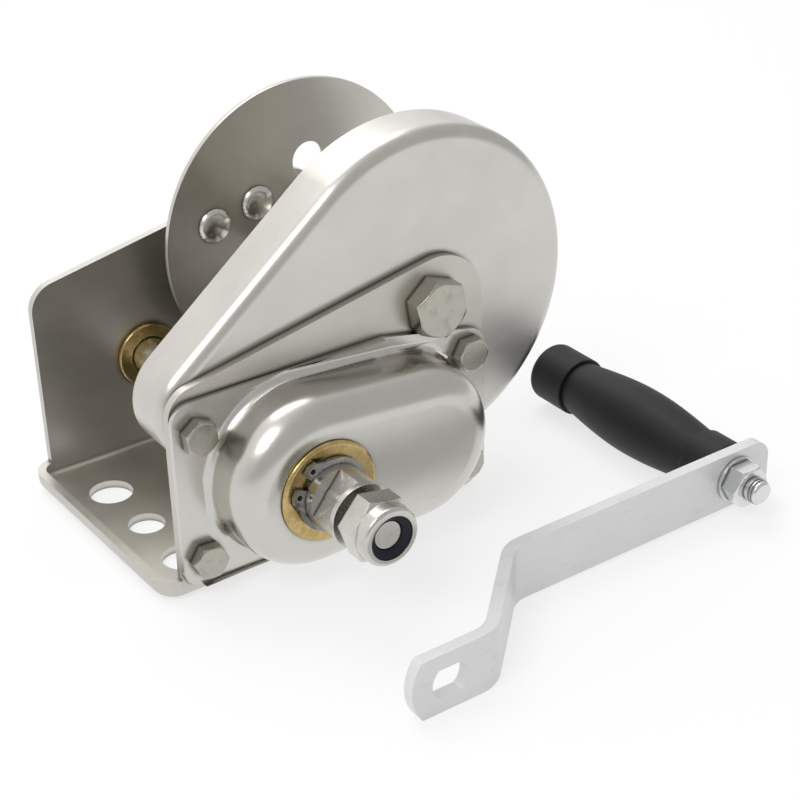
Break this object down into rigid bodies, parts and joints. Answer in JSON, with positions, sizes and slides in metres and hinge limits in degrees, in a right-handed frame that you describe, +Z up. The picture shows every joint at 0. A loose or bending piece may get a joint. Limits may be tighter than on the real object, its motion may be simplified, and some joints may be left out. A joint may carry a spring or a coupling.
{
  "type": "manual anchor winch",
  "caption": "Hand-cranked anchor winch: folded steel frame, geared rope drum under a teardrop cover, domed load-brake housing and a lift-off crank with a turning grip.",
  "frame": {"origin": "middle of the base's underside", "axes": "+X along the base towards the drum, +Y from the crank side to the far side, along the drum's axle and the drive shaft, +Z up"},
  "size_m": [0.2404, 0.2436, 0.1612],
  "materials": {
    "stainless_frame": "satin",
    "stainless_cover": "semi-bright, drawn",
    "bright_steel": "bright",
    "zinc_steel": "matt zinc plate",
    "plain_steel": "machined",
    "bronze": "turned",
    "friction_lining": "matt, fibrous",
    "black_plastic": "moulded, fine grain",
    "nylon": "smooth"
  },
  "bodies": {
    "housing": {"frame": "stainless_frame", "gear_cover": "stainless_cover", "brake_cover": "stainless_cover", "cover_bolts": "bright_steel", "axle_bolt": "bright_steel", "axle_nut": "bright_steel", "axle_sleeve": "plain_steel", "far_bush": "bronze", "plate_bush": "bronze", "cover_bush": "bronze", "pawl_pin": "plain_steel", "pawl_clip": "plain_steel", "pawl_spring": "plain_steel"},
    "drum": {"drum_gear": "plain_steel", "near_flange": "stainless_frame", "far_flange": "stainless_frame", "drum_core": "stainless_frame", "drum_rivets": "bright_steel", "drum_bushes": "bronze", "rope_clamp": "zinc_steel", "clamp_bolts": "bright_steel", "clamp_nuts": "bright_steel"},
    "drive": {"drive_shaft": "bright_steel", "pinion": "plain_steel", "pressure_plate": "plain_steel", "friction_discs": "friction_lining", "drive_hub": "bright_steel", "hub_circlip": "plain_steel", "shaft_washer": "bright_steel", "lock_nut": "bright_steel", "nut_insert": "nylon", "shaft_circlip": "plain_steel"},
    "ratchet": {"ratchet_wheel": "plain_steel"},
    "pawl": {"pawl": "plain_steel"},
    "crank": {"crank_arm": "zinc_steel", "grip_bolt": "bright_steel", "grip_nut": "bright_steel", "grip_washer": "bright_steel"},
    "grip": {"crank_grip": "black_plastic", "grip_cap": "black_plastic"}
  },
  "joints": [
    {"name": "drum_spin", "type": "hinge", "parent": "housing", "child": "drum", "pos_m": [0.0495, 0, 0.09163], "axis": [0, 1, 0], "continuous": true},
    {"name": "drive_spin", "type": "hinge", "parent": "housing", "child": "drive", "pos_m": [-0.0191, 0, 0.0458], "axis": [0, 1, 0], "continuous": true},
    {"name": "ratchet_play", "type": "hinge", "parent": "housing", "child": "ratchet", "pos_m": [-0.0191, 0, 0.0458], "axis": [0, 1, 0], "range_deg": [-0.4, 5]},
    {"name": "pawl_lift", "type": "hinge", "parent": "housing", "child": "pawl", "pos_m": [0.01506, 0, 0.06448], "axis": [0, 1, 0], "range_deg": [-22, 0], "stiffness_Nm_per_rad": 0.02, "springref_deg": 17.19},
    {"name": "crank_lift", "type": "slide", "parent": "housing", "child": "crank", "axis": [0, 0, 1], "range_m": [0, 0.15]},
    {"name": "grip_spin", "type": "hinge", "parent": "crank", "child": "grip", "pos_m": [0.1448, 0, 0.0151], "axis": [0, 1, 0], "continuous": true}
  ],
  "couplings": [
    {"joint": "drive_spin", "follows": "drum_spin", "ratio": -3.2308}
  ]
}
